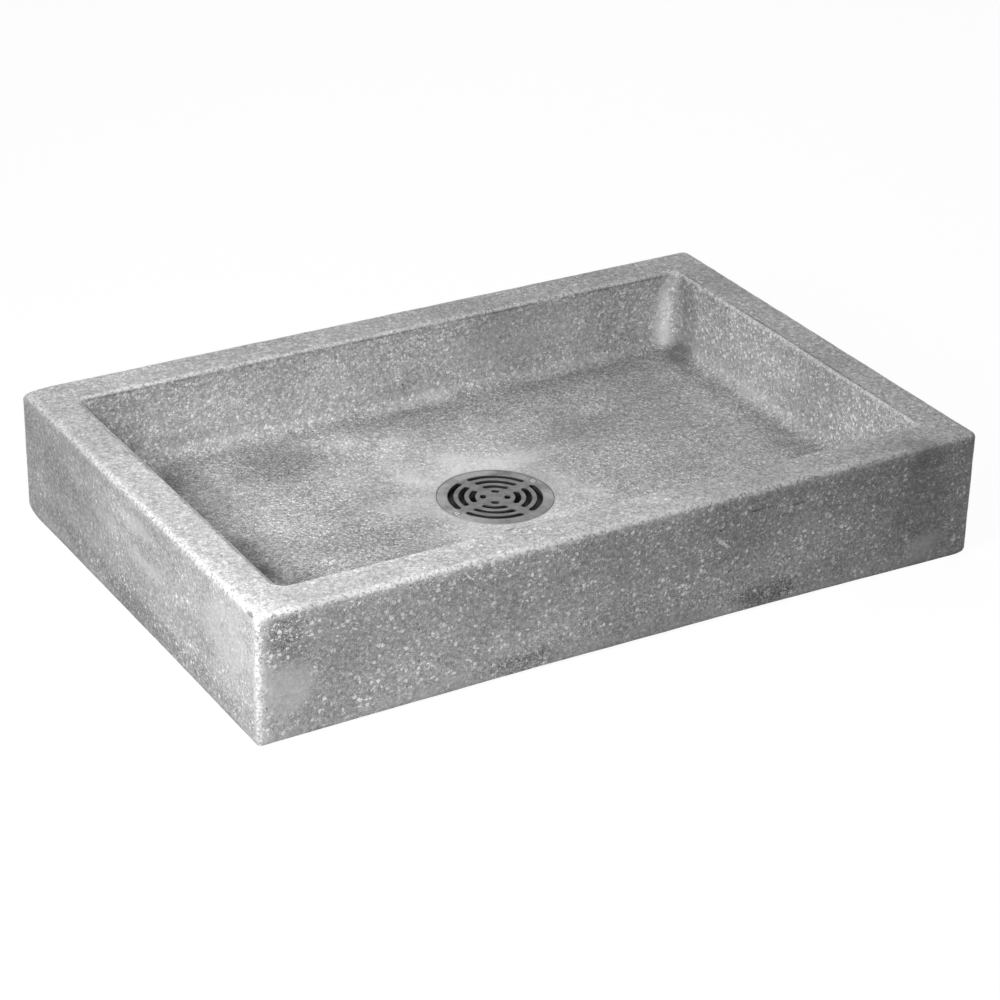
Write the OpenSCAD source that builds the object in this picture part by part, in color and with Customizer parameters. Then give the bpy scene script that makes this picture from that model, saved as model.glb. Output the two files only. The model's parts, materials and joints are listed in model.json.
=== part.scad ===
// Floor-standing mop sink: a shallow precast terrazzo basin with a wide rim,
// a stainless drain body cast into its floor and a slotted round strainer.
// Millimetres. X runs along the length, Y from front to back, Z up.
// The origin is the middle of the underside.

/* [Basin] */
// Length over the rim
basin_length = 914.4; // [700:1:1300]
// Width over the rim, front to back
basin_width = 609.6; // [480:1:900]
// Height from the underside to the rim
basin_height = 152.4; // [120:1:320]
// Width of the flat rim on all four sides
rim_width = 50.8; // [42:0.1:75]
// Height of the floor at the foot of the walls
floor_height = 50; // [46:0.5:70]
// Fall of the floor from the walls to the drain
floor_fall = 7; // [2:0.5:8]
// How far each outer face leans in from rim to base
outer_draft = 2; // [0:0.5:6]
// How far each inner wall leans in from rim to floor
inner_draft = 1.5; // [0:0.5:6]

/* [Basin edges] */
// Radius of the upright outer corners
outer_corner_radius = 10; // [9:0.5:20]
// Radius along the outer edge of the rim
rim_outer_radius = 7; // [2:0.5:8]
// Radius along the underside's edge
base_edge_radius = 4; // [1:0.5:6]
// Radius along the inner edge of the rim
rim_inner_radius = 8; // [2:0.5:12]
// Radius of the upright inner corners
inner_corner_radius = 24; // [22:1:40]
// Cove radius where the walls meet the floor
cove_radius = 18; // [6:1:20]

/* [Strainer] */
// Thickness of the strainer plate
strainer_thickness = 3.2; // [2:0.1:5]
// Chamfer around the plate's upper edge
strainer_chamfer = 0.5; // [0.2:0.1:1]
// Number of slot rings
slot_rings = 4; // [2:1:4]
// Radius of the innermost slots, at their middle
first_slot_radius = 14.2; // [13.5:0.1:15]
// Width of the plain border outside the outermost slots
strainer_border = 12.75; // [12.5:0.05:16]
// Width of a slot
slot_width = 7; // [4:0.1:7.4]
// Width of the four spokes between the slots
spoke_width = 11; // [8:0.5:12]
// Angle of the spoke that holds the first screw
strainer_turn = 14.5; // [-45:0.5:45]

/* [Strainer screws] */
// Distance of each screw's middle from the strainer's edge
screw_inset = 6.65; // [6:0.05:7.5]
// Diameter of the screw thread
screw_diameter = 4; // [3:0.5:4]
// Length of the screw with its head
screw_length = 11; // [9:0.5:13]
// Diameter of the countersunk head
screw_head_diameter = 7.8; // [7:0.1:8.6]
// Width and depth of the driver slot
driver_slot = 1; // [0.6:0.1:1.2]

/* [Drain body] */
// Width of the flange's seat that the strainer lies on
seat_width = 12.05; // [11.8:0.05:12.6]
// Sheet thickness of the sleeve, flange and pan
sheet_thickness = 1.6; // [1.2:0.1:2]
// Height of the sleeve's lower end above the underside
sleeve_lift = 1.5; // [0.5:0.5:4]
// Fall of the pan from its outer edge to its throat
pan_fall = 5; // [2:0.5:5.5]
// Width of the pan's slope from the sleeve to the throat
pan_width = 20.2; // [18:0.1:28]
// Length of the collar below the throat
collar_length = 3; // [1:0.5:3.5]
// Diameter of the tapped bosses for the screws
boss_diameter = 10; // [9:0.5:12]
// Thickness of a boss's closed lower end
boss_floor = 2.3; // [1:0.1:4]

/* [Anchor straps] */
// Number of straps that key the drain body into the floor
strap_count = 4; // [3:1:6]
// Width of a strap
strap_width = 20; // [12:1:30]
// Thickness of a strap
strap_thickness = 3; // [2:0.5:5]
// Reach of a strap beyond the sleeve
strap_reach = 28; // [16:1:34]
// Height of a strap's turned-up end
strap_upturn = 9; // [5:1:12]
// Height of the straps above the underside
strap_height = 10; // [7:1:14]

/* [Pipe gasket] */
// Outer diameter of the waste pipe that pushes in from below
waste_pipe_diameter = 88.9; // [79:0.1:114.3]
// Thickness of the gasket between the pipe and the sleeve
gasket_wall = 11.75; // [9:0.05:14]
// Height of the gasket
gasket_height = 20; // [14:1:20]
// Height of the gasket's lower end above the sleeve's
gasket_recess = 1.4; // [0.6:0.2:1.8]
// Number of sealing ribs round the gasket
gasket_ribs = 3; // [2:1:4]
// Height of a sealing rib along the gasket
gasket_rib_height = 3; // [2:0.5:4]
// Depth of a sealing rib
gasket_rib_depth = 2; // [1:0.5:3]
// How far the ribs are squeezed by the sleeve
gasket_squeeze = 0.3; // [0.1:0.1:0.5]

/* [Reinforcing mesh] */
// Diameter of the mesh wires
wire_diameter = 1.6; // [1.2:0.1:3]
// Spacing of the mesh wires, rounded to fit each panel
mesh_pitch = 50.8; // [40:0.1:76.2]
// Depth of the wall mesh behind the outer faces
wall_mesh_cover = 25.4; // [22:0.1:28]
// Height of the floor mesh above the underside
floor_mesh_height = 25; // [22:0.5:27]
// Height of the lowest wall wire ends above the underside
wall_mesh_foot = 32; // [30:1:40]
// Depth of the wall mesh below the rim
wall_mesh_head = 20; // [16:1:30]
// How far crossing wires sink into each other at a weld
weld_sink = 0.3; // [0.1:0.1:0.5]
// Gap between the strap ends and the floor mesh round the drain
mesh_drain_gap = 12; // [6:1:30]
// Diameter of the wire that ties the panels together
tie_wire_diameter = 0.9; // [0.6:0.1:1.2]

/* [Clearances] */
// Gap between the strainer and the flange's lip
strainer_clearance = 0.6; // [0.3:0.1:1]
// Gap between a screw's thread and its tapped hole
thread_clearance = 0.1; // [0.05:0.05:0.1]
// Gap between a screw and the strainer
screw_clearance = 0.3; // [0.2:0.1:0.4]
// Gap between the top of the gasket and the collar
gasket_clearance = 1; // [0.5:0.1:1.4]
// Depth left below a screw's tip in its tapped hole
tip_clearance = 1.5; // [0.5:0.5:3]
// Gap between a tie and the two wires that it holds
tie_ring_gap = 0.1; // [0.1:0.1:0.4]
// Gap between the wires that are tied at the corners
tie_gap = 0.8; // [0.4:0.1:1.2]

/* [Hidden] */
$fn = 96;
wire_fn = 16;
small_fn = 32;
// Steps along each rounded edge and each upright corner of the basin
arc_steps = 5;
corner_steps = 6;
ring_points = 4 * (corner_steps + 1);
// Angle by which the drain's ring of points gathers towards the diagonals
diagonal_lead = 12;
// Overlap of a cutting shape beyond what it cuts
cut = 1;

// Radii from the waste pipe out to the strainer's edge and the flange's lip
gasket_bore_radius = waste_pipe_diameter / 2;
sleeve_inner_radius = gasket_bore_radius + gasket_wall;
sleeve_outer_radius = sleeve_inner_radius + sheet_thickness;
strainer_radius = sleeve_inner_radius + seat_width;
lip_inner_radius = strainer_radius + strainer_clearance;
lip_outer_radius = lip_inner_radius + sheet_thickness;

// Floor, flange and seat of the strainer
drain_height = floor_height - floor_fall;
seat_height = drain_height - strainer_thickness;
flange_bottom = seat_height - sheet_thickness;
drain_flat_margin = 6;
drain_flat_radius = lip_outer_radius + drain_flat_margin;

// Drain body and gasket
throat_radius = sleeve_inner_radius - pan_width;
gasket_bottom = sleeve_lift + gasket_recess;
gasket_top = gasket_bottom + gasket_height;
collar_bottom = gasket_top + gasket_clearance;
pan_foot = collar_bottom + collar_length + sheet_thickness;
pan_height = pan_foot + pan_fall;
gasket_rib_radius = sleeve_inner_radius + gasket_squeeze;
thread_radius = screw_diameter / 2;
tapped_radius = thread_radius + thread_clearance;
tapped_bottom = drain_height - screw_length - tip_clearance;
boss_bottom = tapped_bottom - boss_floor;
screw_radius = strainer_radius - screw_inset;
last_slot_radius = strainer_radius - strainer_border - slot_width / 2;
slot_pitch = (last_slot_radius - first_slot_radius) / (slot_rings - 1);
head_depth = screw_head_diameter / 2 - thread_radius;

// Half sizes of the basin's outer and inner walls at the rim
outer_half = [basin_length / 2, basin_width / 2];
inner_half = [outer_half[0] - rim_width, outer_half[1] - rim_width];

// Mesh panels: insets keep the outermost welds off the wire ends
weld_step = wire_diameter - weld_sink;
tie_step = wire_diameter + tie_gap;
mesh_half = [outer_half[0] - wall_mesh_cover, outer_half[1] - wall_mesh_cover];
wall_mesh_top = basin_height - wall_mesh_head;
wall_wire_inset = 5;
floor_mesh_margin = 6;
mesh_opening_radius = sleeve_outer_radius + strap_reach + mesh_drain_gap;
tie_ring_radius = wire_diameter + tie_gap / 2 + tie_ring_gap + tie_wire_diameter / 2;

// One level of a rounded rectangle, as points that run anticlockwise
function rect_ring(half, radius, z) = [
    for (quarter = [0:3], step = [0:corner_steps])
        let (
            angle = 90 * (quarter + step / corner_steps),
            side_x = (quarter == 0 || quarter == 3) ? 1 : -1,
            side_y = (quarter < 2) ? 1 : -1
        )
        [
            side_x * (half[0] - radius) + radius * cos(angle),
            side_y * (half[1] - radius) + radius * sin(angle),
            z
        ]
];

// One level of a circle with as many points, gathered towards the diagonals
function circle_ring(radius, z) = [
    for (quarter = [0:3], step = [0:corner_steps])
        let (angle = 90 * quarter + diagonal_lead + (90 - 2 * diagonal_lead) * step / corner_steps)
        [radius * cos(angle), radius * sin(angle), z]
];

function shrink(half, amount) = [half[0] - amount, half[1] - amount];

// Solid skin through rings that are stacked from the bottom up
module loft(rings) {
    points = [for (ring = rings, point = ring) point];
    last = (len(rings) - 1) * ring_points;
    sides = [
        for (level = [0:len(rings) - 2], i = [0:ring_points - 1])
            let (
                a = level * ring_points + i,
                b = level * ring_points + (i + 1) % ring_points,
                c = b + ring_points,
                d = a + ring_points
            )
            each [[a, c, b], [a, d, c]]
    ];
    floor_cap = [for (i = [0:ring_points - 1]) i];
    roof_cap = [for (i = [ring_points - 1:-1:0]) last + i];
    polyhedron(points = points, faces = concat([floor_cap], sides, [roof_cap]), convexity = 6);
}

// Outer block: rounded underside edge, leaning faces, rounded rim edge
module outer_block() {
    base_rings = [
        for (step = [0:arc_steps])
            let (
                angle = 90 * step / arc_steps,
                inset = base_edge_radius * (1 - sin(angle))
            )
            rect_ring(
                shrink(outer_half, outer_draft + inset),
                outer_corner_radius - inset,
                base_edge_radius * (1 - cos(angle))
            )
    ];
    rim_rings = [
        for (step = [0:arc_steps])
            let (
                angle = 90 * step / arc_steps,
                inset = rim_outer_radius * (1 - cos(angle))
            )
            rect_ring(
                shrink(outer_half, inset),
                outer_corner_radius - inset,
                basin_height - rim_outer_radius * (1 - sin(angle))
            )
    ];
    loft(concat(base_rings, rim_rings));
}

// Hollow of the basin: floor that falls to the drain, cove, walls, rim edge
module inner_hollow() {
    foot_half = shrink(inner_half, inner_draft);
    cove_rings = [
        for (step = [0:arc_steps])
            let (
                angle = 90 * step / arc_steps,
                inset = cove_radius * (1 - sin(angle))
            )
            rect_ring(
                shrink(foot_half, inset),
                inner_corner_radius - inset,
                floor_height + cove_radius * (1 - cos(angle))
            )
    ];
    rim_rings = [
        for (step = [0:arc_steps])
            let (
                angle = 90 * step / arc_steps,
                outset = rim_inner_radius * (1 - cos(angle))
            )
            rect_ring(
                shrink(inner_half, -outset),
                inner_corner_radius + outset,
                basin_height - rim_inner_radius * (1 - sin(angle))
            )
    ];
    above_rim = rect_ring(
        shrink(inner_half, -rim_inner_radius),
        inner_corner_radius + rim_inner_radius,
        basin_height + cut
    );
    loft(concat([circle_ring(drain_flat_radius, drain_height)], cove_rings, rim_rings, [above_rim]));
}

// Cylinder between two heights
module upright(radius, low, high) {
    translate([0, 0, low])
        cylinder(r = radius, h = high - low);
}

// Places the first or the second screw's pieces
module at_screw(index) {
    rotate([0, 0, strainer_turn + 180 * index])
        translate([screw_radius, 0, 0])
            children();
}

module basin() {
    color("darkgray")
        difference() {
            outer_block();
            inner_hollow();
            upright(sleeve_outer_radius, -cut, drain_height);
            upright(lip_outer_radius, flange_bottom, drain_height + cut);
            for (index = [0, 1])
                at_screw(index)
                    upright(boss_diameter / 2, boss_bottom, drain_height);
            for (index = [0:strap_count - 1])
                strap_bar(index);
        }
}

// A straight mesh wire, centred on a point
module wire(middle, length, turn) {
    translate(middle)
        rotate(turn)
            cylinder(d = wire_diameter, h = length, center = true, $fn = wire_fn);
}

module floor_mesh() {
    half = shrink(mesh_half, floor_mesh_margin + tie_step);
    long_count = round(2 * half[1] / mesh_pitch);
    cross_count = round(2 * half[0] / mesh_pitch);
    color("lightslategray")
        difference() {
            union() {
                for (i = [0:long_count])
                    wire(
                        [0, half[1] * (2 * i / long_count - 1), floor_mesh_height],
                        2 * (half[0] + wall_wire_inset),
                        [0, 90, 0]
                    );
                for (i = [0:cross_count])
                    wire(
                        [half[0] * (2 * i / cross_count - 1), 0, floor_mesh_height + weld_step],
                        2 * (half[1] + wall_wire_inset),
                        [90, 0, 0]
                    );
            }
            upright(mesh_opening_radius, 0, floor_height);
        }
}

// A wall panel along X: uprights in its plane, level wires on the +Y side
module wall_panel(half_length) {
    upright_count = round(2 * half_length / mesh_pitch);
    level_count = round((wall_mesh_top - wall_mesh_foot) / mesh_pitch);
    low = wall_mesh_foot + wall_wire_inset;
    high = wall_mesh_top - wall_wire_inset;
    color("lightslategray")
        union() {
            for (i = [0:upright_count])
                wire(
                    [half_length * (2 * i / upright_count - 1), 0, (wall_mesh_foot + wall_mesh_top) / 2],
                    wall_mesh_top - wall_mesh_foot,
                    [0, 0, 0]
                );
            for (i = [0:level_count])
                wire(
                    [0, weld_step, low + (high - low) * i / level_count],
                    2 * half_length + wire_diameter,
                    [0, 90, 0]
                );
        }
}

module front_wall_mesh() {
    translate([0, -mesh_half[1], 0])
        wall_panel(mesh_half[0] - tie_step / 2);
}

module back_wall_mesh() {
    translate([0, mesh_half[1], 0])
        rotate([0, 0, 180])
            wall_panel(mesh_half[0] - tie_step / 2);
}

module left_wall_mesh() {
    translate([-mesh_half[0] - tie_step / 2, 0, 0])
        rotate([0, 0, 90])
            wall_panel(mesh_half[1]);
}

module right_wall_mesh() {
    translate([mesh_half[0] + tie_step / 2, 0, 0])
        rotate([0, 0, -90])
            wall_panel(mesh_half[1]);
}

// Rings that tie the end uprights of neighbouring wall panels, at a third and two thirds of their height
module tie_wires() {
    tie_inset = (wall_mesh_top - wall_mesh_foot) / 3;
    color("dimgray")
        for (x = [-1, 1], y = [-1, 1], z = [wall_mesh_foot + tie_inset, wall_mesh_top - tie_inset])
            translate([x * mesh_half[0], y * mesh_half[1], z])
                rotate_extrude($fn = small_fn)
                    translate([tie_ring_radius, 0])
                        circle(d = tie_wire_diameter, $fn = wire_fn);
}

// Sleeve with the flange that the strainer lies on and its upright lip
module drain_sleeve() {
    color("silver")
        difference() {
            union() {
                upright(sleeve_outer_radius, sleeve_lift, flange_bottom);
                upright(lip_outer_radius, flange_bottom, drain_height);
            }
            upright(sleeve_inner_radius, sleeve_lift - cut, drain_height + cut);
            upright(lip_inner_radius, seat_height, drain_height + cut);
            for (index = [0, 1])
                at_screw(index)
                    upright(tapped_radius, flange_bottom - cut, seat_height + cut);
        }
}

// Dished ring inside the sleeve, with a collar that reaches into the pipe
module drain_pan() {
    color("silver")
        rotate_extrude()
            polygon([
                [sleeve_inner_radius, pan_height],
                [throat_radius, pan_foot],
                [throat_radius, collar_bottom],
                [throat_radius + sheet_thickness, collar_bottom],
                [throat_radius + sheet_thickness, pan_foot - sheet_thickness],
                [sleeve_inner_radius, pan_height - sheet_thickness]
            ]);
}

// A flat bar from the drain's axis outwards with a turned-up end
module strap_bar(index) {
    reach = sleeve_outer_radius + strap_reach;
    rotate([0, 0, strainer_turn + 45 + 360 * index / strap_count])
        translate([0, -strap_width / 2, strap_height]) {
            cube([reach, strap_width, strap_thickness]);
            translate([reach - strap_thickness, 0, 0])
                cube([strap_thickness, strap_width, strap_upturn]);
        }
}

// Straps that start at the sleeve's outer face
module anchor_straps() {
    color("silver")
        for (index = [0:strap_count - 1])
            difference() {
                strap_bar(index);
                upright(sleeve_outer_radius, strap_height - cut, strap_height + strap_thickness + cut);
            }
}

// Blind tapped bosses under the flange, coped to the sleeve
module screw_bosses() {
    color("silver")
        for (index = [0, 1])
            difference() {
                at_screw(index)
                    upright(boss_diameter / 2, boss_bottom, flange_bottom);
                at_screw(index)
                    upright(tapped_radius, tapped_bottom, seat_height);
                upright(sleeve_outer_radius, 0, drain_height);
            }
}

// Rubber ring with outer sealing ribs, as it sits on the pipe
module pipe_gasket() {
    body_radius = gasket_rib_radius - gasket_rib_depth;
    rib_step = (gasket_height - gasket_rib_height) / (gasket_ribs - 1);
    color("dimgray")
        difference() {
            union() {
                upright(body_radius, gasket_bottom, gasket_top);
                for (i = [0:gasket_ribs - 1])
                    upright(
                        gasket_rib_radius,
                        gasket_bottom + i * rib_step,
                        gasket_bottom + i * rib_step + gasket_rib_height
                    );
            }
            upright(gasket_bore_radius, gasket_bottom - cut, gasket_top + cut);
        }
}

// One curved slot with round ends, centred on the +X axis
module slot(radius) {
    end_angle = 45 - asin((spoke_width + slot_width) / 2 / radius);
    translate([0, 0, seat_height - cut]) {
        rotate([0, 0, -end_angle])
            rotate_extrude(angle = 2 * end_angle)
                translate([radius - slot_width / 2, 0])
                    square([slot_width, strainer_thickness + 2 * cut]);
        for (side = [-1, 1])
            rotate([0, 0, side * end_angle])
                translate([radius, 0, 0])
                    cylinder(d = slot_width, h = strainer_thickness + 2 * cut, $fn = small_fn);
    }
}

module strainer() {
    color("gray")
        difference() {
            union() {
                upright(strainer_radius, seat_height, drain_height - strainer_chamfer);
                translate([0, 0, drain_height - strainer_chamfer])
                    cylinder(
                        r1 = strainer_radius,
                        r2 = strainer_radius - strainer_chamfer,
                        h = strainer_chamfer
                    );
            }
            for (ring = [0:slot_rings - 1], quarter = [0:3])
                rotate([0, 0, strainer_turn + 45 + 90 * quarter])
                    slot(first_slot_radius + ring * slot_pitch);
            for (index = [0, 1])
                at_screw(index) {
                    upright(thread_radius + screw_clearance, seat_height - cut, drain_height + cut);
                    head_cone(screw_clearance);
                    upright(screw_head_diameter / 2 + screw_clearance, drain_height, drain_height + cut);
                }
        }
}

// Cone for a countersunk head, level with the plate, with the given room around it
module head_cone(room) {
    translate([0, 0, drain_height - head_depth])
        cylinder(r1 = thread_radius + room, r2 = screw_head_diameter / 2 + room, h = head_depth);
}

module strainer_screw(index) {
    color("lightgray")
        at_screw(index)
            difference() {
                union() {
                    upright(thread_radius, drain_height - screw_length, drain_height - head_depth / 2);
                    head_cone(0);
                }
                translate([-screw_head_diameter / 2, -driver_slot / 2, drain_height - driver_slot])
                    cube([screw_head_diameter, driver_slot, 2 * driver_slot]);
            }
}

module strainer_screw_a() {
    strainer_screw(0);
}

module strainer_screw_b() {
    strainer_screw(1);
}

basin();
floor_mesh();
front_wall_mesh();
back_wall_mesh();
left_wall_mesh();
right_wall_mesh();
tie_wires();
drain_sleeve();
drain_pan();
anchor_straps();
screw_bosses();
pipe_gasket();
strainer();
strainer_screw_a();
strainer_screw_b();
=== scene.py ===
# Looks of a terrazzo mop sink: a precast basin with a slotted steel strainer over its drain.
# Metres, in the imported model's own frame: X along the length, Y to the back, Z up.
import json
import math

import bmesh
import bpy
import numpy as np
from mathutils import Matrix, Vector, noise


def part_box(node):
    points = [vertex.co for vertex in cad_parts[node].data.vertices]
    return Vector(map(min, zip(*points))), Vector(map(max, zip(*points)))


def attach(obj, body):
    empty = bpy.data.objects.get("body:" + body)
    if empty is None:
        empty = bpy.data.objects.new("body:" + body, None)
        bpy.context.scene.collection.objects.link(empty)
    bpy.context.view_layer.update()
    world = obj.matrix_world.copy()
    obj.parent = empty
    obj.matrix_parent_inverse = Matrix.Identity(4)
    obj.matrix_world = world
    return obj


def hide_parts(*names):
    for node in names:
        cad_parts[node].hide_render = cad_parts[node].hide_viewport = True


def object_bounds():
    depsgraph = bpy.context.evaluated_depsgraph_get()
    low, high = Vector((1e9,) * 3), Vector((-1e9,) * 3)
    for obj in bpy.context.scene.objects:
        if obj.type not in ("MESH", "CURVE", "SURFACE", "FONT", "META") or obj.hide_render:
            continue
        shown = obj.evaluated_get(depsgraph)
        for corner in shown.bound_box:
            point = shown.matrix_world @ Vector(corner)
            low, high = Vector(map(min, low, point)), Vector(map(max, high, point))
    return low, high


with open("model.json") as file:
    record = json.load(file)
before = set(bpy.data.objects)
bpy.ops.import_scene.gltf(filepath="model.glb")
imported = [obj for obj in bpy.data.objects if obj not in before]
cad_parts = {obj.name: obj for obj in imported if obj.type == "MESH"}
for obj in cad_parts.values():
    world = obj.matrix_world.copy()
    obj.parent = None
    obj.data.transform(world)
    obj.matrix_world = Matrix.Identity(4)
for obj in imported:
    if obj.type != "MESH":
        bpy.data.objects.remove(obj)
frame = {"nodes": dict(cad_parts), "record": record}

CAD_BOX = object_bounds()
MM = 0.001

# Viewpoint of the photograph
PICTURE_PIXELS = 1000
SENSOR_MM = 36
FOCAL_PIXELS = 3176.44
CAMERA_PLACE = (-1.67714, -2.81647, 1.71279)
CAMERA_HEADING = 30.871  # degrees from +Y towards +X
CAMERA_DIP = 27.051  # degrees below the horizon
CAMERA_ROLL = 1.359
CAMERA_REACH = 100

# Light: world fill, and area lamps as (name, place, aim, width, power in watts)
WORLD_FILL = 0.18
LAMPS = [
    ("key", (-0.95, -0.55, 0.79), (0.0, 0.0, 0.1), 0.5, 12.3),
    ("upper_key", (-0.65, -0.37, 1.16), (0.0, 0.0, 0.1), 0.8, 4.1),
    ("rear", (0.75, 1.29, 2.23), (0.0, 0.0, 0.1), 1.4, 15.5),
]
FLOOR_HALF = 6.0
FLOOR_DROP = 0.2 * MM
FLOOR_TONE = 0.7
FLOOR_SHADOW_SHARE = 0.10  # how much of the floor that the camera sees is lit, the rest being plain white
FLOOR_WHITE = 1.06  # makes up for the lit share, which is a little under white
UNDER_BASIN = (0.85, 0.95)  # shares of the basin's half size between which the floor turns white

# Basin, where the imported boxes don't give the size
RIM_WIDTH = 50.8 * MM
FLOOR_FOOT = 50 * MM  # height of the floor at the foot of the walls
OUTER_DRAFT = 0.8 * MM
INNER_DRAFT = 1.5 * MM
COVE = 18 * MM
DRAIN_FLAT = 6 * MM
# Radii of its upper edges, and of the edge round its underside
RIM_OUTER = 7 * MM
RIM_INNER = 5 * MM
BASE_EDGE = 1.5 * MM
# Corner radii seen from above: of the outer faces at the back right, back left, front left and front
# right, and of the inner walls at the rim, a little below it and at the foot
OUTER_CORNERS = np.array([11, 8, 6, 11]) * MM
RIM_CORNER = 11 * MM
WALL_CORNER = 18 * MM
INNER_CORNER = 24 * MM
SMALLEST_CORNER = 1 * MM

# Wear of this one basin, with its corners as signs of x and y
SOFT_FEET = {(-1, 1): (14 * MM, 33 * MM), (1, -1): (9 * MM, 20 * MM)}  # rise at the corner, reach from it
SOFT_FOOT_FLAT = 0.1  # share of that reach in which the rise is full
SOFT_FOOT_HEIGHT = 60 * MM  # height over which the rise fades out
WORN_TOP = ((-1, 1), 5 * MM, 34 * MM)  # corner, how far its top is worn down, reach from it
BASE_BOWS = {"front": 3.6 * MM, "back": 2 * MM, "left": 0.8 * MM, "right": 1.8 * MM}  # rise of the middle
BOW_REACH = 140 * MM  # how far in from its edge the underside bends
# Unevenness as (size of its waves, depth, where it is strongest)
WAVES = [
    (160 * MM, 0.45 * MM, "everywhere"),
    (38 * MM, 0.25 * MM, "everywhere"),
    (11 * MM, 0.35 * MM, "edge"),
]
WAVE_SHIFT = (31.7, 5.3, 11.9)  # keeps the waves of one size clear of the next
DRAIN_CALM = 40 * MM  # width round the drain in which unevenness fades out

# Drain
SHEET = 1.6 * MM
GASKET_SQUEEZE = 0.3 * MM  # how far the gasket's ribs press into the sleeve

# Strainer
PLATE_LOW, PLATE_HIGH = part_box("strainer")
SLOT_RINGS = 4
FIRST_SLOT = 14.2 * MM
PLATE_BORDER = 12.75 * MM
SLOT_WIDTH = 7 * MM
SPOKE_WIDTH = 11 * MM
PLATE_EDGE = 0.3 * MM  # radius of its rounded edges

# Screws as (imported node, name of its piece, body)
SCREWS = [
    ("strainer_screw_a", "screw_front", "screw_a"),
    ("strainer_screw_b", "screw_back", "screw_b"),
]
SCREW_PLACES = [sum(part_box(node), Vector()) / 2 for node, *_ in SCREWS]
THREAD_RADIUS = 2 * MM
THREAD_PITCH = 0.7 * MM
THREAD_DEPTH = 0.35 * MM
TIP_LENGTH = 0.8 * MM
HEAD_DEPTH = 1.9 * MM
HEAD_EDGE = 0.15 * MM
HEAD_ROOM = 0.3 * MM  # gap between a screw and the plate
DRIVER_SLOT = 1 * MM  # its width, and its depth

NOISE_SPAN = (0.3, 0.7)  # most values of a noise lie in here
NOISE_MIDDLE = (0.5, 0.5, 0.5)  # and those of a coloured noise lie round this


class Graph:
    """A material with short calls that add nodes and return their outputs."""

    def __init__(self, name):
        self.material = bpy.data.materials.new(name)
        self.material.use_nodes = True
        self.tree = self.material.node_tree
        self.tree.nodes.clear()
        self.place = self.add("TexCoord").outputs["Object"]

    def add(self, kind, inputs=None, **settings):
        node = self.tree.nodes.new("ShaderNode" + kind)
        for name, value in settings.items():
            setattr(node, name, value)
        for name, value in (inputs or {}).items():
            if isinstance(value, bpy.types.NodeSocket):
                self.tree.links.new(value, node.inputs[name])
            else:
                node.inputs[name].default_value = value
        return node

    def math(self, operation, first, second=0.0, clamp=False):
        node = self.add("Math", {0: first, 1: second}, operation=operation, use_clamp=clamp)
        return node.outputs[0]

    def product(self, *factors):
        total = factors[0]
        for factor in factors[1:]:
            total = self.math("MULTIPLY", total, factor)
        return total

    def total(self, *parts):
        total = parts[0]
        for part in parts[1:]:
            total = self.math("ADD", total, part)
        return total

    def rest(self, share):
        return self.math("SUBTRACT", 1.0, share)

    def vector(self, operation, first, second):
        return self.add("VectorMath", {0: first, 1: second}, operation=operation).outputs[0]

    def length(self, vector):
        return self.add("VectorMath", {0: vector}, operation="LENGTH").outputs["Value"]

    def blend(self, factor, first, second):
        return self.add("Mix", {0: factor, 2: first, 3: second}, data_type="FLOAT").outputs[0]

    def spread(self, value, low, high, to_low=0.0, to_high=1.0):
        """Smooth step from to_low, where value is low, to to_high, where it is high."""
        inputs = {"Value": value, "From Min": low, "From Max": high, "To Min": to_low, "To Max": to_high}
        return self.add("MapRange", inputs, interpolation_type="SMOOTHSTEP").outputs["Result"]

    def between(self, share, first, second):
        """Smooth step from the first value to the second as a share goes from 0 to 1."""
        return self.spread(share, 0.0, 1.0, first, second)

    def swing(self, value, first, second):
        """Smooth step from the first value to the second over the span of a noise."""
        return self.spread(value, *NOISE_SPAN, first, second)

    def noise(self, size, detail=2.0, place=None, output="Fac", roughness=0.5):
        inputs = {"Vector": place or self.place, "Scale": 1 / size, "Detail": detail, "Roughness": roughness}
        return self.add("TexNoise", inputs).outputs[output]

    def cells(self, size, feature="F1", place=None):
        inputs = {"Vector": place or self.place, "Scale": 1 / size}
        return self.add("TexVoronoi", inputs, feature=feature)

    def chances(self, cells):
        """Random values of each cell, as outputs named Red, Green and Blue."""
        return self.add("SeparateColor", {"Color": cells.outputs["Color"]}).outputs

    def mark(self, name):
        """A named value that the mesh holds at each point."""
        return self.add("Attribute", attribute_name=name).outputs["Fac"]

    def finish(self, height, depth, **inputs):
        """Principled surface from plain values or outputs, with a bump of that depth."""
        inputs = {name.replace("_", " "): value for name, value in inputs.items()}
        shader = self.add("BsdfPrincipled", inputs)
        bump = self.add("Bump", {"Height": height, "Distance": depth, "Strength": 1.0})
        self.tree.links.new(bump.outputs["Normal"], shader.inputs["Normal"])
        self.add("OutputMaterial", {"Surface": shader.outputs[0]})
        return self.material


def darken(g, tone, share, mask):
    """Takes a share off the tone where the mask is 1."""
    return g.product(tone, g.rest(g.product(mask, share)))


def cover(g, tone, layer, mask):
    """Lays a layer, as (its tone, how far it hides what is below), where the mask is 1."""
    layer_tone, hiding = layer
    return g.blend(g.product(mask, hiding), tone, layer_tone)


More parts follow.
